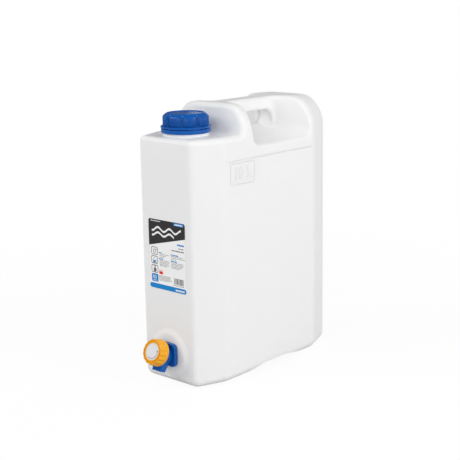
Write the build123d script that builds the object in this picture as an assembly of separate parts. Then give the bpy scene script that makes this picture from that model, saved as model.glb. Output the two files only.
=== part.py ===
from build123d import *
import math
import os

os.makedirs("parts", exist_ok=True)

# Everything is laid out about the can's own middle, +Z up, with the tap side facing -Y.

# Can body, outside sizes.
half_width = 63.0
half_depth = 137.5
corner_cut_x = 17.0
corner_cut_y = 45.0
front_corner_radius = 8.0
side_corner_radius = 26.0
base_radius = 12.0
wall = 1.6
# Above this height the outline draws in along an arc, then turns over into the top.
crown_start = 294.4
crown_arc_from = 318.4
crown_arc_radius = 58.6
crown_arc_steps = [294.4, 300.4, 306.4, 312.4, 318.4, 322.4, 326.4, 330.4, 334.4, 339.4, 344.4, 348.4]
# Each pair is how far the outline has drawn in and the height where it has done so.
crown_top = [(10.6, 352.0), (14.0, 356.2), (18.2, 360.0), (23.2, 362.5), (28.5, 363.8), (33.5, 364.3), (37.0, 364.38),
             (38.5, 364.4)]
top_z = crown_top[-1][1]

# Low shoulder under the filler neck, and the wall that rises behind it.
shoulder_z = 326.4
shoulder_wall_y = -53.5
shoulder_cove = 10.0
shoulder_rim = 7.0

# Hand recesses on both sides, the handle bar between them and the gap under the bar.
recess_front = -33.6
recess_back = 52.0
recess_floor = 325.4
recess_fall = 0.262
# The rear wall of each recess slants: at the can's side it lies this much further back.
recess_slant_back = 33.4
recess_slant = recess_slant_back / half_width
recess_cove = 13.0
recess_rim = 6.0
bar_half = 14.5
bar_flare_front = 8.5
bar_flare_back = 14.0
gap_front = -24.0
gap_back = 58.0
gap_top = 346.5
gap_corner = 10.0
bar_under_rim = 5.5

# Raised channel across the underside.
channel_height = 8.7
channel = [(-58.4, 0.0), (-17.0, channel_height), (31.5, channel_height), (75.0, 0.0)]

# Filler neck.
neck_y = -97.0
neck_radius = 24.8
neck_bore = 22.0
neck_top = 352.4
collar_radius = 29.5
collar_top = 330.4
bead_radius = 27.4
thread_pitch = 6.0
neck_thread_from = 337.4
neck_thread_rise = 10.0
neck_thread_out = 26.7
thread_root_width = 3.4
thread_crest_width = 1.8

# Screw cap.
cap_radius = 28.6
cap_inner = 27.2
cap_thread_in = 25.3
cap_lip_radius = 32.75
cap_lip_z = 336.8
cap_lip_top = 339.4
cap_top = 355.7
cap_bevel = 3.6
cap_roof = 1.9
cap_ribs = 9
cap_rib_width = 1.5
cap_rib_out = 0.7
liner_thick = 1.2
liner_gap = 0.2

# Tamper ring.
ring_radius = 32.2
ring_inner = 28.1
ring_top = 335.9
ring_nibs = 12

# Tap: the mounting plate, and the barrel that leans up from it.
tap_z = 41.1
boss_radius = 34.0
boss_out = 2.0
boss_slope = 75.0
gasket_thick = 1.2
plate_width = 32.5
plate_height = 31.0
plate_thick = 5.0
plate_corner = 6.0
lean = 23.0
shank_radius = 12.0
shank_bore = 7.0
shank_end = -119.0
socket_wall = 2.6
socket_gap = 0.3
barrel_radius = 11.6
barrel_bore = 8.6
barrel_end = 23.3
seat_bore = 5.4
seat_at = 1.2
tap_pitch = 4.0
barrel_thread_out = 13.0
barrel_thread_from = 14.6
barrel_thread_rise = 7.0
spout_width = 16.5
spout_end = 23.1
spout_bore = 3.6
spout_at = 5.65

# Knob and the valve inside it.
knob_radius = 17.3
knob_back = 13.5
knob_front = 27.0
knob_inner = 13.6
knob_thread_in = 12.1
knob_lobes = 16
disc_radius = 12.15
disc_front = 26.5
disc_thick = 1.4
stem_radius = 6.4
piston_radius = 8.2
waist_radius = 5.0
seal_thick = 1.8
o_ring_places = [12.6, 16.2]
o_ring_section = 0.9

# Label on the front face.
label_width = 66.0
label_height = 93.0
label_z = 173.0
label_thick = 0.2
label_corner = 3.0


def turned(outline):
    """A solid turned about Z from (radius, height) points."""
    points = [(r, 0, z) for r, z in outline]
    return revolve(make_face(Polyline(*points, close=True)), Axis.Z, 360)


def bar_along_y(radius, y_from, y_to, z):
    """A round bar parallel to Y."""
    place = Plane(origin=(0, y_from, z), z_dir=(0, math.copysign(1, y_to - y_from), 0))
    return extrude(place * Circle(radius), abs(y_to - y_from))


def thread(root, crest, pitch, start, rise):
    """A screw thread ridge from the root radius to the crest radius, about Z."""
    sign = math.copysign(1, crest - root)
    buried = root - 0.3 * sign
    profile = Polyline(
        (buried, 0, start - thread_root_width * pitch / thread_pitch / 2),
        (crest, 0, start - thread_crest_width * pitch / thread_pitch / 2),
        (crest, 0, start + thread_crest_width * pitch / thread_pitch / 2),
        (buried, 0, start + thread_root_width * pitch / thread_pitch / 2),
        close=True,
    )
    path = Pos(0, 0, start) * Helix(pitch, rise, root)
    return sweep(make_face(profile), path=path, is_frenet=True)


def outline_at(inset, z):
    """The can's rounded eight-sided outline, drawn in by an inset."""
    length = math.hypot(corner_cut_x, corner_cut_y)
    reach = (half_width * corner_cut_y + (half_depth - corner_cut_y) * corner_cut_x) / length - inset
    x = half_width - inset
    y = half_depth - inset
    side_y = (reach * length - x * corner_cut_y) / corner_cut_x
    front_x = (reach * length - y * corner_cut_x) / corner_cut_y
    points = [
        (x, -side_y), (x, side_y), (front_x, y), (-front_x, y),
        (-x, side_y), (-x, -side_y), (-front_x, -y), (front_x, -y),
    ]
    soften = max(0.2, 1 - inset / 42)
    face = make_face(Polyline(*points, close=True))
    sides = [v for v in face.vertices() if abs(abs(v.X) - x) < 1e-6]
    face = fillet(sides, side_corner_radius * soften)
    ends = [v for v in face.vertices() if abs(abs(v.Y) - y) < 1e-6 and abs(abs(v.X) - front_x) < 1e-6]
    face = fillet(ends, front_corner_radius * soften)
    return Pos(0, 0, z) * face


def crown_profile(deep):
    """How far the outline has drawn in at each height of the crown, measured a depth inside the skin."""
    skin = []
    for z in crown_arc_steps:
        above = max(0.0, z - crown_arc_from)
        skin.append((crown_arc_radius - math.sqrt(crown_arc_radius**2 - above**2), z))
    skin += crown_top
    moved = []
    for i, (drawn_in, z) in enumerate(skin):
        before = skin[max(i - 1, 0)]
        after = skin[min(i + 1, len(skin) - 1)]
        length = math.hypot(after[0] - before[0], after[1] - before[1])
        across = deep * (after[1] - before[1]) / length
        down = deep * (after[0] - before[0]) / length
        moved.append((drawn_in + across, z - down))
    return moved


def plain_can(deep):
    """The can before the shoulder, the recesses and the channel are cut from it."""
    low = extrude(outline_at(deep, deep), crown_start - deep)
    low = fillet(low.edges().group_by(Axis.Z)[0], base_radius - deep)
    return low + loft([outline_at(drawn_in, z) for drawn_in, z in crown_profile(deep)])


def lies_on(edge, skins):
    """True where an edge runs along every one of the given skins."""
    return all(skin.distance_to(edge @ f) < 1e-3 for skin in skins for f in (0.15, 0.5, 0.85))


def cut_shoulder(form, deep):
    """Cut the low shoulder at the front and round its rim."""
    tool = Pos(0, shoulder_wall_y + deep - 200, shoulder_z - deep + 100) * Box(400, 400, 200)
    low_edges = tool.edges().filter_by(Axis.X).group_by(Axis.Z)[0]
    tool = fillet(low_edges.sort_by(Axis.Y)[-1], shoulder_cove + deep)
    cut = form - tool
    rim = [e for e in cut.edges() if lies_on(e, (form.shell(), tool.shell()))]
    return fillet(rim, shoulder_rim - deep)


def recess_parts(deep):
    """The space taken by both hand recesses and by the gap under the handle bar."""
    split = (recess_front + recess_back) / 2
    near = recess_front - deep
    far = recess_back + deep * math.hypot(1, recess_slant)
    low = recess_floor - deep * math.hypot(1, recess_fall)
    front = make_face(Polyline((0, near, low), (0, far - 5, low), (0, far - 5, 420), (0, near, 420), close=True))
    front = fillet(front.vertices().group_by(Axis.Z)[0].sort_by(Axis.Y)[0], recess_cove + deep)
    back = make_face(Polyline((0, split, low), (0, far, low), (0, far, 420), (0, split, 420), close=True))
    back = fillet(back.vertices().group_by(Axis.Z)[0].sort_by(Axis.Y)[-1], recess_cove + deep)
    space = extrude(front, 90, dir=(1, 0, -recess_fall)) + extrude(front, 90, dir=(-1, 0, -recess_fall))
    space += extrude(back, 90, dir=(1, recess_slant, -recess_fall))
    space += extrude(back, 90, dir=(-1, recess_slant, -recess_fall))
    side = bar_half - deep
    wing = make_face(Polyline(
        (side, near), (100, near), (100, far + 100 * recess_slant), (side, far + side * recess_slant), close=True))
    wing = fillet(wing.vertices().group_by(Axis.X)[0].sort_by(Axis.Y)[-1], bar_flare_back + deep)
    wing = fillet(wing.vertices().group_by(Axis.X)[0].sort_by(Axis.Y)[0], bar_flare_front + deep)
    right = extrude(Pos(0, 0, 250) * wing, 200)
    wings = [right, mirror(right, Plane.YZ)]
    roof = gap_top + deep
    gap = make_face(Polyline(
        (-60, gap_front - deep, 280), (-60, gap_back + deep, 280), (-60, gap_back + deep, roof),
        (-60, gap_front - deep, roof), close=True))
    gap = extrude(fillet(gap.vertices().group_by(Axis.Z)[-1], gap_corner + deep), 120, dir=(1, 0, 0))
    return space & (wings[0] + wings[1] + gap), wings, gap


def cut_recesses(form, deep):
    """Cut both hand recesses and the gap under the handle bar, and round every rim."""
    tool, wings, gap = recess_parts(deep)
    cut = form - tool
    rim = [e for e in cut.edges() if lies_on(e, (form.shell(), tool.shell()))]
    cut = fillet(rim, recess_rim - deep)
    for wing in wings:
        mouth = [e for e in cut.edges() if lies_on(e, (wing.shell(), gap.shell()))]
        cut = fillet(mouth, bar_under_rim - deep)
    return cut


def skin(deep):
    """The can's form a depth inside its outer skin, as one solid without its neck and tap boss."""
    form = plain_can(deep)
    outline = [(0, y, z + deep) for y, z in channel]
    under = make_face(Polyline((0, channel[0][0], -5), *outline, (0, channel[-1][0], -5), close=True))
    form = form - extrude(under, 100, both=True)
    return cut_recesses(cut_shoulder(form, deep), deep).solid()


def neck():
    """Collar, neck tube, ring bead and screw thread, standing at their own axis."""
    low = shoulder_z - wall
    tube = turned([
        (0, low), (collar_radius, low), (collar_radius, collar_top), (neck_radius, collar_top),
        (neck_radius, bead_z), (bead_radius, bead_z + 0.6), (bead_radius, bead_z + 1.2),
        (neck_radius, bead_z + 2.4), (neck_radius, neck_top - 0.8), (neck_radius - 0.8, neck_top), (0, neck_top),
    ])
    return tube + thread(neck_radius, neck_thread_out, thread_pitch, neck_thread_from, neck_thread_rise)


def can_body():
    """The hollow can with its neck, the boss on the front wall and the socket behind it."""
    form = skin(0.0)
    inside = skin(wall)
    face = -half_depth
    boss = bar_along_y(boss_radius, face + 6, face, tap_z)
    boss += extrude(Plane(origin=(0, face, tap_z), z_dir=(0, -1, 0)) * Circle(boss_radius), boss_out, taper=boss_slope)
    body = form + boss + Pos(0, neck_y, 0) * neck() - inside
    body -= Pos(0, neck_y, (shoulder_z + neck_top) / 2) * Cylinder(neck_bore, 60)
    hole = shank_radius + socket_gap
    body += bar_along_y(hole + socket_wall, face + wall / 2, shank_end - 1, tap_z)
    body -= bar_along_y(hole, face - 10, shank_end + 5, tap_z)
    return body


def screw_cap():
    """The ribbed cap with its wide lip, top recess and inner thread."""
    roof = cap_top - cap_roof
    outside = [
        (0, cap_lip_z), (cap_lip_radius - 0.5, cap_lip_z), (cap_lip_radius, cap_lip_z + 0.5),
        (cap_lip_radius, cap_lip_top - 0.9), (cap_lip_radius - 1.2, cap_lip_top), (cap_radius, cap_lip_top),
        (cap_radius, cap_top - cap_bevel), (cap_radius - 3.0, cap_top - 0.6), (cap_radius - 3.8, cap_top), (0, cap_top),
    ]
    cap = turned(outside)
    wider = [(r + cap_rib_out if r > 20 else r, z) for r, z in outside]
    rib = Pos(cap_radius, 0, (cap_lip_top + cap_top - 1.2) / 2) * Box(6, cap_rib_width, cap_top - cap_lip_top - 1.2)
    ribs = PolarLocations(0, cap_ribs, start_angle=20) * rib
    cap += turned(wider) & Part() + ribs
    cap -= Pos(0, 0, cap_top) * Cylinder(cap_radius - 5.2, 1.8)
    cap -= turned([(0, 330), (cap_inner, 330), (cap_inner, roof), (0, roof)])
    ridge = thread(cap_inner, cap_thread_in, thread_pitch, neck_thread_from + thread_pitch / 2, neck_thread_rise - 2.5)
    return cap + ridge


def tamper_ring():
    """The ring left under the cap, with the stubs of its torn bridges."""
    ring = turned([
        (bead_radius - 1.2, collar_top), (ring_radius - 0.8, collar_top), (ring_radius, collar_top + 0.8),
        (ring_radius, ring_top - 0.4), (ring_radius - 0.4, ring_top), (ring_inner, ring_top),
        (ring_inner, collar_top + 1.2), (bead_radius - 1.2, collar_top + 0.8),
    ])
    nib = Pos(ring_inner + 2.9, 0, ring_top + 0.3) * Box(1.2, 1.6, 1.0)
    return ring + PolarLocations(0, ring_nibs) * nib


def tap_body():
    """Mounting plate with its shank, and the leaning barrel with thread, seat and spout."""
    barrel = turned([(0, -7), (barrel_radius, -7), (barrel_radius, barrel_end), (0, barrel_end)])
    barrel += thread(barrel_radius, barrel_thread_out, tap_pitch, barrel_thread_from, barrel_thread_rise)
    side = make_face(Polyline(*[(0, y, z) for y, z in spout_side], close=True))
    spout = extrude(side, spout_width / 2, both=True)
    spout = fillet([e for e in spout.edges() if abs((e @ 0).X - (e @ 1).X) < 1e-6 and abs((e @ 0).Y - (e @ 1).Y) > 3], 2.2)
    barrel += spout
    barrel = leaning * barrel
    plate_back = -half_depth - boss_out - gasket_thick
    front = plate_back - plate_thick
    barrel = barrel & Pos(0, plate_back - 1 - 100, 0) * Box(200, 200, 400)
    plate = Pos(0, plate_back - plate_thick / 2, tap_z) * Box(plate_width, plate_thick, plate_height)
    plate = fillet(plate.edges().filter_by(Axis.Y), plate_corner)
    plate = fillet(plate.faces().sort_by(Axis.Y)[0].edges(), 1.0)
    body = plate + barrel + bar_along_y(shank_radius, plate_back - 1, shank_end, tap_z)
    body -= bar_along_y(shank_bore, front + 2.5, shank_end + 2, tap_z)
    body -= leaning * turned([
        (0, -5), (seat_bore, -5), (seat_bore, seat_at), (barrel_bore, seat_at), (barrel_bore, barrel_end + 1),
        (0, barrel_end + 1),
    ])
    down = Plane(origin=(0, 0, spout_at), x_dir=(1, 0, 0), z_dir=(0, -1, 0))
    return body - leaning * extrude(down * Circle(spout_bore), spout_end + 1)


def tap_knob():
    """The fluted knob that screws along the barrel."""
    knob = turned([
        (0, knob_back), (knob_radius + 0.1, knob_back), (knob_radius + 0.6, knob_back + 0.5),
        (knob_radius + 0.6, knob_back + 2.0), (knob_radius, knob_back + 2.6), (knob_radius, knob_front - 0.8),
        (knob_radius - 0.8, knob_front), (0, knob_front),
    ])
    flute = Pos(knob_radius + 1.2, 0, knob_front - 4) * Cylinder(2.2, 2 * (knob_front - 4 - knob_back - 2.6))
    for turn in range(knob_lobes):
        knob -= Rot(0, 0, 360 / knob_lobes * turn) * flute
    web = disc_back - 0.1
    knob -= turned([
        (0, knob_back - 1), (knob_inner, knob_back - 1), (knob_inner, web - 1.2), (stem_radius + 0.4, web - 1.2),
        (stem_radius + 0.4, web), (disc_radius + 0.5, web), (disc_radius + 0.9, knob_front + 1), (0, knob_front + 1),
    ])
    return knob + thread(knob_inner, knob_thread_in, tap_pitch, barrel_thread_from + tap_pitch / 2, tap_pitch * 1.1)


def valve_piston():
    """The piston: button for the seal, slim waist, ring grooves and the stem for the disc."""
    outline = [(0, 0.2), (3.9, 0.2), (3.9, 1.1), (3.0, 1.1), (3.0, seal_back), (waist_radius, seal_back),
               (waist_radius, land_from), (piston_radius, land_from)]
    for place in o_ring_places:
        outline += [
            (piston_radius, place - o_ring_section - 0.1), (groove_radius, place - o_ring_section - 0.1),
            (groove_radius, place + o_ring_section + 0.1), (piston_radius, place + o_ring_section + 0.1),
        ]
    land_to = disc_back - 1.5
    outline += [(piston_radius, land_to), (stem_radius, land_to), (stem_radius, disc_back), (3.0, disc_back),
                (3.0, disc_back + 0.8), (0, disc_back + 0.8)]
    return turned(outline)


def index_disc():
    """The round disc let into the front of the knob."""
    return turned([
        (0, disc_back + 0.8), (3.05, disc_back + 0.8), (3.05, disc_back), (disc_radius, disc_back),
        (disc_radius, disc_front - 0.3), (disc_radius - 0.3, disc_front), (0, disc_front),
    ])


def front_label():
    sheet = RectangleRounded(label_width, label_height, label_corner)
    front = Plane(origin=(0, -half_depth, label_z), x_dir=(1, 0, 0), z_dir=(0, -1, 0))
    return extrude(front * sheet, label_thick)


bead_z = collar_top + 1.7
seal_back = seat_at + 0.1 + seal_thick
land_from = 10.9
groove_radius = barrel_bore - 0.1 - 2 * o_ring_section
disc_back = disc_front - disc_thick
spout_side = [(-6.0, -4.6), (-6.0, 12.9), (-spout_end, 10.7), (-spout_end, 0.6)]
tilt = math.radians(lean)
plate_front = -half_depth - boss_out - gasket_thick - plate_thick
leaning = Location(Plane(
    origin=(0, plate_front, tap_z), x_dir=(1, 0, 0), z_dir=(0, -math.cos(tilt), math.sin(tilt))))
over_neck = Pos(0, neck_y, 0)

nodes = {
    "can_body": can_body(),
    "front_label": front_label(),
    "screw_cap": over_neck * screw_cap(),
    "cap_liner": over_neck * turned([
        (0, neck_top + liner_gap), (cap_inner - 0.6, neck_top + liner_gap), (cap_inner - 0.6, cap_top - cap_roof),
        (0, cap_top - cap_roof)]),
    "tamper_ring": over_neck * tamper_ring(),
    "tap_body": tap_body(),
    "tap_gasket": bar_along_y(15.4, -half_depth - boss_out, plate_front + plate_thick, tap_z)
    - bar_along_y(12.9, -half_depth, plate_front, tap_z),
    "tap_knob": leaning * tap_knob(),
    "index_disc": leaning * index_disc(),
    "valve_piston": leaning * valve_piston(),
    "seat_seal": leaning * turned([
        (3.1, seat_at + 0.1), (7.4, seat_at + 0.1), (7.4, seal_back), (3.1, seal_back)]),
}
for number, place in enumerate(o_ring_places, 1):
    ring = Pos(0, 0, place) * Torus(groove_radius + o_ring_section, o_ring_section)
    nodes["piston_ring_%d" % number] = leaning * ring

# The origin is on the floor, under the middle of the whole with its tap.
front_reach = min(shape.bounding_box().min.Y for shape in nodes.values())
back_reach = max(shape.bounding_box().max.Y for shape in nodes.values())
to_middle = Pos(0, -round((front_reach + back_reach) / 2, 2), 0)

for name, shape in nodes.items():
    export_step(to_middle * shape, "parts/%s.step" % name)
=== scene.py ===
import math
import random

import bpy
from mathutils import Matrix, Vector


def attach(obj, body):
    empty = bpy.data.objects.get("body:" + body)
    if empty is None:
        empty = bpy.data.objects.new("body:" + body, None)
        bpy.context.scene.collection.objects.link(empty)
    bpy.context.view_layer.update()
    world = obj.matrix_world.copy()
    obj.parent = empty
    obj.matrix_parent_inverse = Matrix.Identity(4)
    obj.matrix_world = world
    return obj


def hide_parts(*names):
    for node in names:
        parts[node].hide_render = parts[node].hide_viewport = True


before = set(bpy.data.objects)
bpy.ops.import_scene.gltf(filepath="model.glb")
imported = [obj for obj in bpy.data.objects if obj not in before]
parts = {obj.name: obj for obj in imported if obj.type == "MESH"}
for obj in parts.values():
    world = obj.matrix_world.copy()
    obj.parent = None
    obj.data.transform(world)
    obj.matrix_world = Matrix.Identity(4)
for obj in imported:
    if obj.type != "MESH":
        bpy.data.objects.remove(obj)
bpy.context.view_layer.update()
bpy.ops.object.select_all(action="DESELECT")

# Can body.
# One hollow piece of natural polyethylene, blow moulded from a hanging tube between two mould halves.
# The plastic is milky and lets light soak in, and the tube's drawn streaks run down its walls.


def begin_finish(name):
    """A new material with its plastic shader, and the nodes and links it is built with."""
    finish = bpy.data.materials.new(name)
    finish.use_nodes = True
    tree = finish.node_tree
    return finish, tree, tree.nodes["Principled BSDF"]


def put_on(piece, finish):
    """The piece wears this finish all over."""
    piece.data.materials.clear()
    piece.data.materials.append(finish)
    for face in piece.data.polygons:
        face.material_index = 0


def make_moulded_skin():
    """Shared effect: the slight cloudiness, the uneven gloss and the fine grain of a moulded skin."""
    group = bpy.data.node_groups.new("moulded_skin", "ShaderNodeTree")
    face = group.interface
    face.new_socket("Colour", in_out="INPUT", socket_type="NodeSocketColor")
    face.new_socket("Cloud colour", in_out="INPUT", socket_type="NodeSocketColor")
    for label, value in (
        ("Cloud size", 20.0),
        ("Gloss from", 0.3),
        ("Gloss to", 0.4),
        ("Grain size", 900.0),
        ("Grain depth", 0.1),
        ("Stretch", 1.0),
    ):
        face.new_socket(label, in_out="INPUT", socket_type="NodeSocketFloat").default_value = value
    face.new_socket("Colour", in_out="OUTPUT", socket_type="NodeSocketColor")
    face.new_socket("Roughness", in_out="OUTPUT", socket_type="NodeSocketFloat")
    face.new_socket("Normal", in_out="OUTPUT", socket_type="NodeSocketVector")
    nodes = group.nodes
    link = group.links.new
    given = nodes.new("NodeGroupInput")
    given_out = nodes.new("NodeGroupOutput")
    place = nodes.new("ShaderNodeTexCoord")
    drawn = nodes.new("ShaderNodeCombineXYZ")
    drawn.inputs["X"].default_value = 1.0
    drawn.inputs["Y"].default_value = 1.0
    link(given.outputs["Stretch"], drawn.inputs["Z"])
    along = nodes.new("ShaderNodeVectorMath")
    along.operation = "MULTIPLY"
    link(place.outputs["Object"], along.inputs[0])
    link(drawn.outputs["Vector"], along.inputs[1])
    cloud = nodes.new("ShaderNodeTexNoise")
    cloud.inputs["Detail"].default_value = 4.0
    link(along.outputs["Vector"], cloud.inputs["Vector"])
    link(given.outputs["Cloud size"], cloud.inputs["Scale"])
    tint = nodes.new("ShaderNodeMix")
    tint.data_type = "RGBA"
    link(cloud.outputs["Fac"], tint.inputs["Factor"])
    link(given.outputs["Colour"], tint.inputs["A"])
    link(given.outputs["Cloud colour"], tint.inputs["B"])
    link(tint.outputs["Result"], given_out.inputs["Colour"])
    gloss = nodes.new("ShaderNodeMapRange")
    gloss.inputs["From Min"].default_value = 0.3
    gloss.inputs["From Max"].default_value = 0.7
    link(cloud.outputs["Fac"], gloss.inputs["Value"])
    link(given.outputs["Gloss from"], gloss.inputs["To Min"])
    link(given.outputs["Gloss to"], gloss.inputs["To Max"])
    link(gloss.outputs["Result"], given_out.inputs["Roughness"])
    grain = nodes.new("ShaderNodeTexNoise")
    grain.inputs["Detail"].default_value = 2.0
    link(along.outputs["Vector"], grain.inputs["Vector"])
    link(given.outputs["Grain size"], grain.inputs["Scale"])
    relief = nodes.new("ShaderNodeBump")
    relief.inputs["Distance"].default_value = 0.0004
    link(given.outputs["Grain depth"], relief.inputs["Strength"])
    link(grain.outputs["Fac"], relief.inputs["Height"])
    link(relief.outputs["Normal"], given_out.inputs["Normal"])
    return group


moulded_skin = make_moulded_skin()


def moulded(name, colour, cloud_colour, cloud_size, gloss, grain_size, grain_depth, stretch=1.0):
    """A moulded plastic finish: the shader with the shared skin in front of it."""
    finish, tree, plastic = begin_finish(name)
    skin = tree.nodes.new("ShaderNodeGroup")
    skin.node_tree = moulded_skin
    skin.inputs["Colour"].default_value = (*colour, 1.0)
    skin.inputs["Cloud colour"].default_value = (*cloud_colour, 1.0)
    skin.inputs["Cloud size"].default_value = cloud_size
    skin.inputs["Gloss from"].default_value = gloss[0]
    skin.inputs["Gloss to"].default_value = gloss[1]
    skin.inputs["Grain size"].default_value = grain_size
    skin.inputs["Grain depth"].default_value = grain_depth
    skin.inputs["Stretch"].default_value = stretch
    tree.links.new(skin.outputs["Colour"], plastic.inputs["Base Color"])
    tree.links.new(skin.outputs["Roughness"], plastic.inputs["Roughness"])
    tree.links.new(skin.outputs["Normal"], plastic.inputs["Normal"])
    plastic.inputs["IOR"].default_value = 1.5
    return finish, tree, plastic


natural_plastic, tree, plastic = moulded(
    "natural_polyethylene", (0.95, 0.95, 0.95), (0.92, 0.92, 0.92), 9.0, (0.34, 0.44), 700.0, 0.12, 0.12)
plastic.inputs["Subsurface Weight"].default_value = 0.6
plastic.inputs["Subsurface Radius"].default_value = (1.0, 1.0, 1.0)
plastic.inputs["Subsurface Scale"].default_value = 0.003
plastic.inputs["Specular IOR Level"].default_value = 0.4
put_on(parts["can_body"], natural_plastic)

# Capacity mark and fill line.
# A rounded frame with the can's volume in it, and a fine line round the top of the side wall.
# Both are cut into the mould, so on the can they stand a little proud in the same plastic.
side_x = 0.063
mark_y = (-0.06325, -0.01525)
mark_z = (0.2634, 0.2924)
mark_corner = 0.0042


def rounded_band(name, low, high, corner, width, height):
    """A raised band that follows a rounded rectangle, made flat and facing up."""
    bpy.ops.mesh.primitive_plane_add(size=1.0)
    band = bpy.context.object
    band.name = name
    bpy.ops.object.mode_set(mode="EDIT")
    bpy.ops.transform.resize(value=(high[0] - low[0], high[1] - low[1], 1.0))
    bpy.ops.mesh.bevel(offset=corner, offset_pct=0, segments=8, affect="VERTICES")
    bpy.ops.mesh.select_all(action="SELECT")
    bpy.ops.mesh.inset(thickness=width, depth=0.0)
    bpy.ops.mesh.delete(type="FACE")
    bpy.ops.mesh.select_all(action="SELECT")
    bpy.ops.mesh.extrude_region_move(TRANSFORM_OT_translate={"value": (0.0, 0.0, height)})
    bpy.ops.mesh.select_all(action="SELECT")
    bpy.ops.mesh.normals_make_consistent(inside=False)
    bpy.ops.object.mode_set(mode="OBJECT")
    return band


def soften(piece, width, segments=2, angle=math.radians(40)):
    """Rounds the piece's sharp edges and smooths its shading."""
    bevel = piece.modifiers.new("soft_edges", "BEVEL")
    bevel.width = width
    bevel.segments = segments
    bevel.limit_method = "ANGLE"
    bevel.angle_limit = angle
    bpy.context.view_layer.objects.active = piece
    bpy.ops.object.modifier_apply(modifier=bevel.name)
    bpy.ops.object.select_all(action="DESELECT")
    piece.select_set(True)
    bpy.ops.object.shade_smooth_by_angle(angle=math.radians(50))
    bpy.ops.object.select_all(action="DESELECT")


def set_down(piece, place, turn):
    """Puts a flat-made piece where it belongs, and leaves its object at the origin."""
    bpy.ops.object.select_all(action="DESELECT")
    piece.select_set(True)
    bpy.context.view_layer.objects.active = piece
    piece.location = place
    piece.rotation_euler = turn
    bpy.ops.object.transform_apply(location=True, rotation=True, scale=True)
    bpy.ops.object.select_all(action="DESELECT")


onto_side = (math.radians(90), 0.0, math.radians(90))
half_frame = ((mark_y[1] - mark_y[0]) / 2, (mark_z[1] - mark_z[0]) / 2)
mark_frame = rounded_band(
    "capacity_frame", (-half_frame[0], -half_frame[1]), half_frame, mark_corner, 0.0011, 0.0007)
soften(mark_frame, 0.0003)
set_down(mark_frame, (side_x - 0.0004, sum(mark_y) / 2, sum(mark_z) / 2), onto_side)

bpy.ops.object.text_add()
mark_figures = bpy.context.object
mark_figures.name = "capacity_figures"
mark_figures.data.body = "10 L"
mark_figures.data.size = 0.0235
mark_figures.data.align_x = "CENTER"
mark_figures.data.align_y = "CENTER"
mark_figures.data.extrude = 0.0005
mark_figures.data.offset = 0.0006
mark_figures.data.resolution_u = 6
bpy.ops.object.convert(target="MESH")
soften(mark_figures, 0.0002)
mark_figures.scale = (0.86, 1.0, 1.0)
set_down(mark_figures, (side_x - 0.00015, sum(mark_y) / 2, sum(mark_z) / 2), onto_side)

bpy.ops.mesh.primitive_cube_add(size=1.0)
fill_line = bpy.context.object
fill_line.name = "fill_line"
bpy.ops.object.mode_set(mode="EDIT")
bpy.ops.transform.resize(value=(0.0007, 0.178, 0.0008))
bpy.ops.object.mode_set(mode="OBJECT")
soften(fill_line, 0.0003)
set_down(fill_line, (side_x - 0.00015, 0.01975, 0.295), (0.0, 0.0, 0.0))

for piece in (mark_frame, mark_figures, fill_line):
    put_on(piece, natural_plastic)
    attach(piece, "can")

# Label.
# A printed film stuck to the front: dark head, white text field and a blue foot, all in plain shapes.
# The inks lie on the film in three passes, each colour its own thin layer.
film_front = -0.11796
film_foot = 0.1265
ink_step = 0.00004

film_finish, tree, plastic = moulded(
    "label_film", (0.93, 0.93, 0.93), (0.9, 0.9, 0.9), 30.0, (0.3, 0.4), 400.0, 0.03)
plastic.inputs["Specular IOR Level"].default_value = 0.3
put_on(parts["front_label"], film_finish)


def select_points(piece, wanted):
    """Selects only the points that the test picks, and leaves the piece in edit mode."""
    bpy.context.view_layer.objects.active = piece
    bpy.ops.object.mode_set(mode="EDIT")
    bpy.ops.mesh.select_mode(type="VERT")
    bpy.ops.mesh.select_all(action="DESELECT")
    bpy.ops.object.mode_set(mode="OBJECT")
    for point in piece.data.vertices:
        point.select = wanted(point)
    bpy.ops.object.mode_set(mode="EDIT")


def begin_ink(name):
    """An empty layer of ink, ready for patches."""
    bpy.ops.object.select_all(action="DESELECT")
    bpy.ops.mesh.primitive_plane_add(size=1.0)
    layer = bpy.context.object
    layer.name = name
    bpy.ops.object.mode_set(mode="EDIT")
    bpy.ops.mesh.select_all(action="SELECT")
    bpy.ops.mesh.delete(type="VERT")
    return layer


def ink_patch(x_from, x_to, z_from, z_to, corner=0.0):
    """One printed rectangle, in millimetres from the label's middle and its lower edge."""
    bpy.ops.mesh.select_all(action="DESELECT")
    middle = ((x_from + x_to) / 2000, film_front, film_foot + (z_from + z_to) / 2000)
    bpy.ops.mesh.primitive_plane_add(size=1.0, location=middle, rotation=(math.radians(90), 0.0, 0.0))
    bpy.ops.transform.resize(
        value=((x_to - x_from) / 1000, 1.0, (z_to - z_from) / 1000), center_override=middle)
    if corner:
        bpy.ops.mesh.bevel(offset=corner / 1000, offset_pct=0, segments=6, affect="VERTICES")


def ink_frame(x_from, x_to, z_from, z_to, corner, stroke):
    """A printed outline with rounded corners."""
    ink_patch(x_from, x_to, z_from, z_to, corner)
    bpy.ops.mesh.inset(thickness=stroke / 1000, depth=0.0)
    bpy.ops.mesh.delete(type="FACE")


def ink_words(x_from, x_to, z, height, seed, widest=5.0):
    """One line of small print, drawn as plain strokes with gaps where words would part."""
    chance = random.Random(seed)
    x = x_from
    while x < x_to - 0.8:
        width = min(chance.uniform(1.2, widest), x_to - x)
        ink_patch(x, x + width, z, z + height)
        x += width + 0.5


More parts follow.
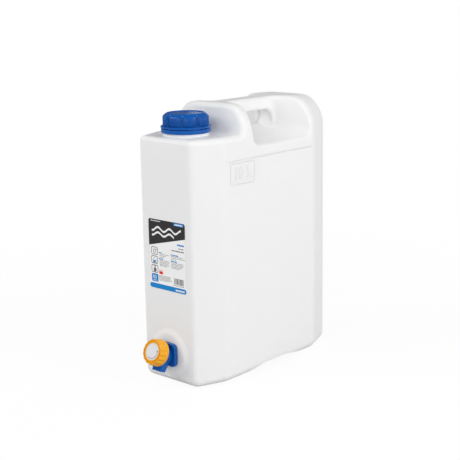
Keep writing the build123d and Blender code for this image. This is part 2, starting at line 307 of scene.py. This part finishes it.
def finish_ink(layer, colour, printed=1):
    """Gives the layer its thickness, its place among the printing passes and its colour."""
    bpy.ops.mesh.select_all(action="SELECT")
    bpy.ops.transform.translate(value=(0.0, -ink_step * (printed - 1), 0.0))
    bpy.ops.object.mode_set(mode="OBJECT")
    body = layer.modifiers.new("ink_body", "SOLIDIFY")
    body.thickness = ink_step * 0.8
    body.offset = 1.0
    bpy.context.view_layer.objects.active = layer
    bpy.ops.object.modifier_apply(modifier=body.name)
    finish, tree, plastic = moulded(
        layer.name + "_ink", colour, tuple(c * 0.94 for c in colour), 60.0, (0.3, 0.38), 500.0, 0.02)
    plastic.inputs["Specular IOR Level"].default_value = 0.25
    put_on(layer, finish)
    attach(layer, "can")


label_half, label_high, label_corner = 33.0, 93.0, 0.003
head_foot, head_rise = 57.1, 0.01584

dark_ink = begin_ink("label_head")
ink_patch(-label_half, label_half, head_foot, label_high)
select_points(dark_ink, lambda point: point.co.x > 0.0 and point.co.z < film_foot + 0.06)
bpy.ops.transform.translate(value=(0.0, 0.0, head_rise))
select_points(dark_ink, lambda point: point.co.z > film_foot + 0.09)
bpy.ops.mesh.bevel(offset=label_corner, offset_pct=0, segments=8, affect="VERTICES")
finish_ink(dark_ink, (0.03, 0.028, 0.028))

blue_ink = begin_ink("label_blue")
ink_patch(-label_half, label_half, 0.0, 6.6)
bpy.ops.mesh.bevel(offset=label_corner, offset_pct=0, segments=8, affect="VERTICES")
ink_patch(-29.5, -17.6, 8.8, 19.3, 1.6)
ink_patch(13.0, 30.5, 88.3, 92.4, 0.4)
ink_words(18.6, 30.5, 62.7, 2.3, 3, 4.5)
for x_from, x_to, z in ((-15.2, -10.2, 48.4), (6.3, 19.7, 48.4), (-15.2, -6.7, 40.1), (6.3, 18.3, 40.1)):
    ink_words(x_from, x_to, z, 1.4, int(x_to * 10) + 400, 6.0)
ink_patch(-25.4, -21.7, 34.4, 37.4, 0.4)
ink_patch(-24.2, -22.9, 40.4, 41.6, 0.5)
finish_ink(blue_ink, (0.0, 0.235, 0.62), 2)

grey_ink = begin_ink("label_print")
for block, (x_from, ends, z_top, pitch) in enumerate((
    (-14.2, (3.5, -2.0, -6.3), 47.0, 2.05),
    (6.9, (28.6, 31.3, 15.7), 47.0, 2.05),
    (-14.2, (3.6, 3.0, 1.8, 3.4, -0.8), 38.6, 1.8),
    (6.9, (29.4, 29.0, 28.2, 26.1, 22.0), 38.6, 1.8),
    (-16.0, (5.7, 4.9, 6.3, 8.6, 3.2), 17.8, 1.55),
)):
    for line, x_to in enumerate(ends):
        ink_words(x_from, x_to, z_top - pitch * line, 0.62, 10 * block + line, 4.0)
ink_words(20.3, 30.5, 58.5, 1.2, 72, 4.0)
ink_words(8.2, 30.5, 54.6, 1.5, 71, 4.0)
for icon_z in (45.1, 33.0, 20.8):
    ink_frame(-29.6, -17.4, icon_z, icon_z + 10.6, 2.2, 0.9)
ink_frame(-25.9, -21.0, 47.7, 52.9, 1.6, 0.8)
ink_patch(-20.9, -19.4, 51.6, 53.2)
ink_patch(-26.4, -25.7, 33.9, 39.6)
ink_patch(-21.4, -20.7, 33.9, 39.6)
ink_patch(-26.4, -20.7, 33.4, 34.0)
ink_patch(-25.6, -20.9, 22.0, 27.4, 1.4)
ink_patch(-24.9, -21.7, 28.6, 30.2, 0.6)
x = 11.3
bars = random.Random(5)
while x < 28.4:
    width = bars.choice((0.35, 0.35, 0.7, 1.0))
    ink_patch(x, min(x + width, 28.8), 10.6, 18.8)
    x += width + bars.choice((0.3, 0.3, 0.6))
ink_words(10.0, 29.6, 8.7, 0.8, 88, 2.4)
finish_ink(grey_ink, (0.13, 0.13, 0.13))

red_ink = begin_ink("label_red")
ink_patch(-15.6, -8.9, 20.3, 23.8, 0.4)
finish_ink(red_ink, (0.78, 0.012, 0.015))

pink_ink = begin_ink("label_red_tint")
ink_patch(-15.6, -8.9, 23.9, 26.3, 0.4)
finish_ink(pink_ink, (0.86, 0.6, 0.6))

wave_steps = 64
wave_stroke = 0.0027
wave_turning = 300.0

white_ink = begin_ink("label_white")
for x_from, x_to, z, swell in ((-27.0, 26.0, 80.4, 2.6), (-27.0, 13.0, 73.8, 2.2)):
    bpy.ops.object.mode_set(mode="OBJECT")
    drawn_before = len(white_ink.data.vertices)
    bpy.ops.object.mode_set(mode="EDIT")
    bpy.ops.mesh.select_all(action="DESELECT")
    place = ((x_from + x_to) / 2000, film_front, film_foot + z / 1000)
    bpy.ops.mesh.primitive_grid_add(
        x_subdivisions=wave_steps, y_subdivisions=1, size=1.0, location=place,
        rotation=(math.radians(90), 0.0, 0.0))
    bpy.ops.transform.resize(value=((x_to - x_from) / 1000, 1.0, wave_stroke), center_override=place)
    for step in range(wave_steps + 1):
        x = (x_from + (x_to - x_from) * step / wave_steps) / 1000
        select_points(white_ink, lambda point: point.index >= drawn_before and abs(point.co.x - x) < 0.0001)
        bpy.ops.transform.translate(value=(0.0, 0.0, swell / 1000 * math.sin(wave_turning * x)))
ink_words(-28.5, -11.4, 90.1, 1.1, 15, 3.0)
ink_words(14.0, 30.3, 1.8, 2.2, 16, 3.4)
ink_words(15.0, 28.8, 89.4, 1.6, 17, 3.4)
for x_from, x_to, z_from, z_to in (
    (-26.9, -26.0, 12.6, 17.2), (-24.9, -24.0, 12.6, 17.2), (-22.2, -21.3, 12.6, 17.2),
    (-24.9, -21.3, 16.4, 17.2), (-24.9, -21.3, 12.6, 13.4), (-27.0, -20.0, 10.3, 11.0),
):
    ink_patch(x_from, x_to, z_from, z_to)
finish_ink(white_ink, (0.9, 0.9, 0.9), 3)

# Screw cap with its liner and the ring under it.
# Injection moulded in solid blue polyethylene: nine grip panels with fine knurling between the ribs.
# The ring snaps off the cap at the first opening and stays on the neck.
neck_axis = Vector((0.0, -0.07725, 0.0))
panels = 9
panel_pitch = 360.0 / panels
panel_turn = 24.5
groove_width = 6.0
panel_radius = 0.0294
panel_foot = 0.3397
bar_middle = 0.3457
knurls = 11
knurl_pitch = 3.04
knurl_from = 4.8

blue_finish, tree, plastic = moulded(
    "blue_polyethylene", (0.0, 0.1, 0.42), (0.0, 0.085, 0.38), 60.0, (0.2, 0.3), 1400.0, 0.05)
plastic.inputs["Specular IOR Level"].default_value = 0.35
for name in ("screw_cap", "tamper_ring", "tap_body"):
    put_on(parts[name], blue_finish)

white_finish, tree, plastic = moulded(
    "white_polyethylene", (0.8, 0.79, 0.8), (0.75, 0.74, 0.76), 80.0, (0.35, 0.45), 1500.0, 0.05)
for name in ("cap_liner", "valve_piston", "index_disc"):
    put_on(parts[name], white_finish)


def lathe(name, steps, outline, closed=False, turn=0.0):
    """A turned shell from (radius, height) points, each ring drawn out of the one before."""
    bpy.ops.mesh.primitive_circle_add(
        vertices=steps, radius=outline[0][0], fill_type="NOTHING", location=(0.0, 0.0, outline[0][1]),
        rotation=(0.0, 0.0, math.radians(turn)))
    shell = bpy.context.object
    shell.name = name
    bpy.ops.object.transform_apply(location=True, rotation=True, scale=True)
    bpy.ops.object.mode_set(mode="EDIT")
    bpy.ops.mesh.select_all(action="SELECT")
    for (r_from, z_from), (r_to, z_to) in zip(outline, outline[1:]):
        bpy.ops.mesh.extrude_region_move(TRANSFORM_OT_translate={"value": (0.0, 0.0, z_to - z_from)})
        grown = r_to / r_from
        bpy.ops.transform.resize(value=(grown, grown, 1.0), center_override=(0.0, 0.0, 0.0))
    if closed:
        bpy.ops.object.mode_set(mode="OBJECT")
        last_ring = len(shell.data.vertices) - steps
        select_points(shell, lambda point: point.index < steps or point.index >= last_ring)
        bpy.ops.mesh.bridge_edge_loops()
    bpy.ops.mesh.select_all(action="SELECT")
    bpy.ops.mesh.normals_make_consistent(inside=False)
    bpy.ops.object.mode_set(mode="OBJECT")
    return shell


def bearing_of(point):
    """The point's direction around Z, in degrees from 0 to 360."""
    return math.degrees(math.atan2(point.y, point.x)) % 360.0


cap_panels = lathe("cap_panels", 180, (
    (panel_radius, panel_foot), (panel_radius, 0.3512), (0.0288, 0.3523), (0.0263, 0.3548)), turn=panel_turn)
select_points(cap_panels, lambda point: (
    (bearing_of(point.co) - panel_turn + groove_width / 2) % panel_pitch < groove_width))
bpy.ops.mesh.delete(type="VERT")
bpy.ops.object.mode_set(mode="OBJECT")
wall = cap_panels.modifiers.new("panel_wall", "SOLIDIFY")
wall.thickness = 0.0011
wall.offset = -1.0
bpy.ops.object.modifier_apply(modifier=wall.name)
soften(cap_panels, 0.00025)


def around_cap(name, piece, bearings):
    """One piece made of copies of the first, turned about the cap's axis to each bearing."""
    copies = []
    for bearing in bearings:
        copy = piece.copy()
        copy.data = piece.data.copy()
        bpy.context.collection.objects.link(copy)
        copy.data.transform(Matrix.Rotation(math.radians(bearing), 4, "Z"))
        copies.append(copy)
    bpy.data.objects.remove(piece)
    bpy.ops.object.select_all(action="DESELECT")
    for copy in copies:
        copy.select_set(True)
    bpy.context.view_layer.objects.active = copies[0]
    bpy.ops.object.join()
    whole = bpy.context.object
    whole.name = name
    bpy.ops.object.shade_smooth_by_angle(angle=math.radians(50))
    bpy.ops.object.select_all(action="DESELECT")
    return whole


bar_place = (panel_radius - 0.0006, 0.0, bar_middle)
bpy.ops.mesh.primitive_cube_add(size=1.0, location=bar_place)
bar = bpy.context.object
bpy.ops.object.mode_set(mode="EDIT")
bpy.ops.transform.resize(value=(0.0022, 0.0013, 0.0118), center_override=bar_place)
bpy.ops.mesh.select_all(action="SELECT")
bpy.ops.mesh.bevel(offset=0.0003, segments=2)
bpy.ops.object.mode_set(mode="OBJECT")
bpy.ops.object.transform_apply(location=True, rotation=True, scale=True)
cap_bars = around_cap("cap_bars", bar, [panel_turn + panel_pitch * panel for panel in range(panels)])

bpy.ops.mesh.primitive_cylinder_add(
    vertices=8, radius=0.0006, depth=0.0102, location=(panel_radius, 0.0, bar_middle),
    rotation=(0.0, 0.0, math.radians(22.5)))
knurl = bpy.context.object
bpy.ops.object.mode_set(mode="EDIT")
bpy.ops.mesh.select_all(action="SELECT")
bpy.ops.mesh.bevel(offset=0.00014, segments=1)
bpy.ops.object.mode_set(mode="OBJECT")
bpy.ops.object.transform_apply(location=True, rotation=True, scale=True)
cap_knurling = around_cap("cap_knurling", knurl, [
    panel_turn + panel_pitch * panel + knurl_from + knurl_pitch * step
    for panel in range(panels) for step in range(knurls)])
for piece in (cap_panels, cap_bars, cap_knurling):
    set_down(piece, neck_axis, (0.0, 0.0, 0.0))
    put_on(piece, blue_finish)
    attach(piece, "cap")

# Tap.
# The blue body is one moulding, clamped to the can over a rubber gasket.
# A yellow knob screws the piston off its seat, and a white disc with an opening arrow closes its front.
knob_finish, tree, plastic = moulded(
    "yellow_polyethylene", (0.9, 0.42, 0.0), (0.84, 0.36, 0.0), 90.0, (0.26, 0.36), 1500.0, 0.06)
plastic.inputs["Specular IOR Level"].default_value = 0.5
put_on(parts["tap_knob"], knob_finish)

rubber_finish, tree, plastic = moulded(
    "black_rubber", (0.02, 0.02, 0.02), (0.03, 0.03, 0.03), 120.0, (0.6, 0.75), 2500.0, 0.1)
for name in ("tap_gasket", "seat_seal", "piston_ring_1", "piston_ring_2"):
    put_on(parts[name], rubber_finish)

lean = math.radians(23.0)
along_barrel = (math.radians(90) - lean, 0.0, 0.0)
barrel_foot = Vector((0.0, -0.12595, 0.0411))
barrel_way = Vector((0.0, -math.cos(lean), math.sin(lean)))
# The knob's section runs from the index disc's rim over the crest, down the grip and round the back.
knob_outline = (
    (0.01225, 0.0251), (0.01225, 0.0266), (0.0114, 0.0266), (0.0113, 0.0269), (0.0117, 0.0272),
    (0.0124, 0.0272), (0.0128, 0.0269), (0.0131, 0.0258), (0.0139, 0.0256), (0.0144, 0.0262),
    (0.015, 0.0269), (0.0159, 0.0268), (0.0167, 0.0262), (0.0174, 0.0249), (0.0174, 0.0225),
    (0.0174, 0.0195), (0.0172, 0.0165), (0.0173, 0.0159), (0.0178, 0.0156), (0.0179, 0.0152),
    (0.0179, 0.0139), (0.0175, 0.0135), (0.0137, 0.0135), (0.0137, 0.0238), (0.0069, 0.0238),
    (0.0069, 0.025))
grip_radius = 17.4
lobes = 16
lobe_steps = 12
# How deep the hollows between the lobes are, in millimetres, from the crest down to the flange.
hollows = (
    (0.02675, 0.02685, 0.4), (0.0261, 0.0263, 1.0), (0.0245, 0.0255, 1.7), (0.022, 0.023, 1.6),
    (0.019, 0.02, 1.2), (0.016, 0.017, 0.4))

knob_shell = lathe("knob_shell", lobes * lobe_steps, knob_outline, closed=True)
for low, high, deep in hollows:
    for step in range(1, lobe_steps):
        drawn = 1.0 - deep / grip_radius * math.sin(math.pi * step / lobe_steps) ** 2
        select_points(knob_shell, lambda point: (
            low < point.co.z < high and point.co.xy.length > 0.0155
            and round(bearing_of(point.co) * lobes * lobe_steps / 360.0) % lobe_steps == step))
        bpy.ops.transform.resize(value=(drawn, drawn, 1.0), center_override=(0.0, 0.0, 0.0))
bpy.ops.object.mode_set(mode="OBJECT")
bpy.ops.object.select_all(action="DESELECT")
knob_shell.select_set(True)
bpy.ops.object.shade_smooth_by_angle(angle=math.radians(50))
set_down(knob_shell, barrel_foot, along_barrel)
put_on(knob_shell, knob_finish)
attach(knob_shell, "knob")
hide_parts("tap_knob")

disc_face = barrel_foot + barrel_way * 0.02653
arc_radius, arc_thinner = 0.0093, 0.93
arc_from, arc_to = -125, 5
head_place, head_bearing = 0.0088, 0.21

bpy.ops.mesh.primitive_circle_add(vertices=96, radius=arc_radius, fill_type="NOTHING")
disc_marks = bpy.context.object
disc_marks.name = "disc_marks"
bpy.ops.object.mode_set(mode="EDIT")
bpy.ops.mesh.select_all(action="SELECT")
bpy.ops.mesh.extrude_region_move()
bpy.ops.transform.resize(value=(arc_thinner, arc_thinner, 1.0), center_override=(0.0, 0.0, 0.0))
bpy.ops.mesh.select_all(action="DESELECT")
bpy.ops.object.mode_set(mode="OBJECT")
for face in disc_marks.data.polygons:
    bearing = math.degrees(math.atan2(face.center.y, face.center.x))
    face.select = not arc_from < bearing < arc_to
bpy.ops.object.mode_set(mode="EDIT")
bpy.ops.mesh.select_mode(type="FACE")
bpy.ops.mesh.delete(type="FACE")
bpy.ops.mesh.primitive_circle_add(
    vertices=3, radius=0.0017, fill_type="NGON",
    location=(head_place * math.cos(head_bearing), head_place * math.sin(head_bearing), 0.0),
    rotation=(0.0, 0.0, head_bearing))
bpy.ops.mesh.select_all(action="SELECT")
bpy.ops.mesh.normals_make_consistent(inside=False)
bpy.ops.mesh.extrude_region_move(TRANSFORM_OT_translate={"value": (0.0, 0.0, 0.00004)})
bpy.ops.object.mode_set(mode="OBJECT")
set_down(disc_marks, disc_face - barrel_way * 0.00002, along_barrel)
mark_ink, tree, plastic = moulded(
    "violet_ink", (0.09, 0.07, 0.3), (0.12, 0.1, 0.33), 200.0, (0.4, 0.5), 900.0, 0.02)
put_on(disc_marks, mark_ink)
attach(disc_marks, "valve")

# Floor, light and camera.
# A white sweep under a broad soft light from the left and above, and a paler one from the right.
# The camera sees it white, with only the can's own soft shadow on it.
bpy.ops.mesh.primitive_grid_add(x_subdivisions=2, y_subdivisions=2, size=80.0, location=(0.0, 0.0, -0.0005))
floor = bpy.context.object
floor.name = "floor"
floor_finish, tree, plastic = begin_finish("pale_floor")
plastic.inputs["Base Color"].default_value = (0.6, 0.6, 0.6, 1.0)
plastic.inputs["Roughness"].default_value = 0.9
plastic.inputs["Specular IOR Level"].default_value = 0.1
seen_floor = tree.nodes.new("ShaderNodeBsdfDiffuse")
seen_floor.inputs["Color"].default_value = (0.97, 0.97, 0.97, 1.0)
glow = tree.nodes.new("ShaderNodeEmission")
glow.inputs["Color"].default_value = (1.0, 1.0, 1.0, 1.0)
sweep = tree.nodes.new("ShaderNodeMixShader")
place = tree.nodes.new("ShaderNodeTexCoord")
away = tree.nodes.new("ShaderNodeVectorMath")
away.operation = "LENGTH"
tree.links.new(place.outputs["Object"], away.inputs[0])
fade = tree.nodes.new("ShaderNodeMapRange")
fade.inputs["From Min"].default_value = 0.25
fade.inputs["From Max"].default_value = 1.0
fade.inputs["To Min"].default_value = 0.92
fade.inputs["To Max"].default_value = 1.0
tree.links.new(away.outputs["Value"], fade.inputs["Value"])
tree.links.new(fade.outputs["Result"], sweep.inputs["Fac"])
tree.links.new(seen_floor.outputs["BSDF"], sweep.inputs[1])
tree.links.new(glow.outputs["Emission"], sweep.inputs[2])
rays = tree.nodes.new("ShaderNodeLightPath")
blend = tree.nodes.new("ShaderNodeMixShader")
tree.links.new(rays.outputs["Is Camera Ray"], blend.inputs["Fac"])
tree.links.new(plastic.outputs["BSDF"], blend.inputs[1])
tree.links.new(sweep.outputs["Shader"], blend.inputs[2])
tree.links.new(blend.outputs["Shader"], tree.nodes["Material Output"].inputs["Surface"])
put_on(floor, floor_finish)

room = bpy.data.worlds.new("white_room")
bpy.context.scene.world = room
room.use_nodes = True
tree = room.node_tree
plain = tree.nodes["Background"]
plain.inputs["Color"].default_value = (1.0, 1.0, 1.0, 1.0)
seen = tree.nodes.new("ShaderNodeBackground")
seen.inputs["Color"].default_value = (1.0, 1.0, 1.0, 1.0)
seen.inputs["Strength"].default_value = 1.0
rays = tree.nodes.new("ShaderNodeLightPath")
either = tree.nodes.new("ShaderNodeMath")
either.operation = "MAXIMUM"
tree.links.new(rays.outputs["Is Camera Ray"], either.inputs[0])
tree.links.new(rays.outputs["Is Transmission Ray"], either.inputs[1])
less_for_gloss = tree.nodes.new("ShaderNodeMath")
less_for_gloss.operation = "MULTIPLY"
less_for_gloss.inputs[1].default_value = -0.4
tree.links.new(rays.outputs["Is Glossy Ray"], less_for_gloss.inputs[0])
room_level = tree.nodes.new("ShaderNodeMath")
room_level.operation = "ADD"
room_level.inputs[1].default_value = 0.56
tree.links.new(less_for_gloss.outputs["Value"], room_level.inputs[0])
tree.links.new(room_level.outputs["Value"], plain.inputs["Strength"])
blend = tree.nodes.new("ShaderNodeMixShader")
tree.links.new(either.outputs["Value"], blend.inputs["Fac"])
tree.links.new(plain.outputs["Background"], blend.inputs[1])
tree.links.new(seen.outputs["Background"], blend.inputs[2])
tree.links.new(blend.outputs["Shader"], tree.nodes["World Output"].inputs["Surface"])


def soft_light(name, place, aim, size, power):
    """A square soft box that faces the point it is aimed at."""
    lamp = bpy.data.lights.new(name, "AREA")
    lamp.shape = "SQUARE"
    lamp.size = size
    lamp.energy = power
    stand = bpy.data.objects.new(name, lamp)
    stand.location = place
    stand.rotation_euler = (Vector(aim) - Vector(place)).to_track_quat("-Z", "Y").to_euler()
    bpy.context.collection.objects.link(stand)


soft_light("left_box", (-1.0, -1.9, 1.6), (0.0, 0.0, 0.18), 1.2, 20.0)
soft_light("front_box", (1.1, -2.2, 1.1), (0.0, 0.0, 0.2), 0.9, 8.0)
soft_light("right_box", (2.2, 0.3, 1.0), (0.0, 0.0, 0.18), 1.4, 26.0)

view = bpy.data.cameras.new("camera")
view.sensor_fit = "HORIZONTAL"
view.sensor_width = 36.0
view.lens = 84.39
view.clip_start = 0.01
camera = bpy.data.objects.new("camera", view)
heading = math.radians(41.89)
height = math.radians(12.80)
roll = math.radians(-0.93)
level = Vector((math.cos(heading), math.sin(heading), 0.0))
behind = Vector((
    math.sin(heading) * math.cos(height), -math.cos(heading) * math.cos(height), math.sin(height)))
upward = behind.cross(level)
right = level * math.cos(roll) + upward * math.sin(roll)
top = -level * math.sin(roll) + upward * math.cos(roll)
camera.matrix_world = Matrix((
    (right.x, top.x, behind.x, 0.96626), (right.y, top.y, behind.y, -1.07258),
    (right.z, top.z, behind.z, 0.51437), (0.0, 0.0, 0.0, 1.0)))
bpy.context.collection.objects.link(camera)
bpy.context.scene.camera = camera
bpy.context.scene.view_settings.view_transform = "Standard"
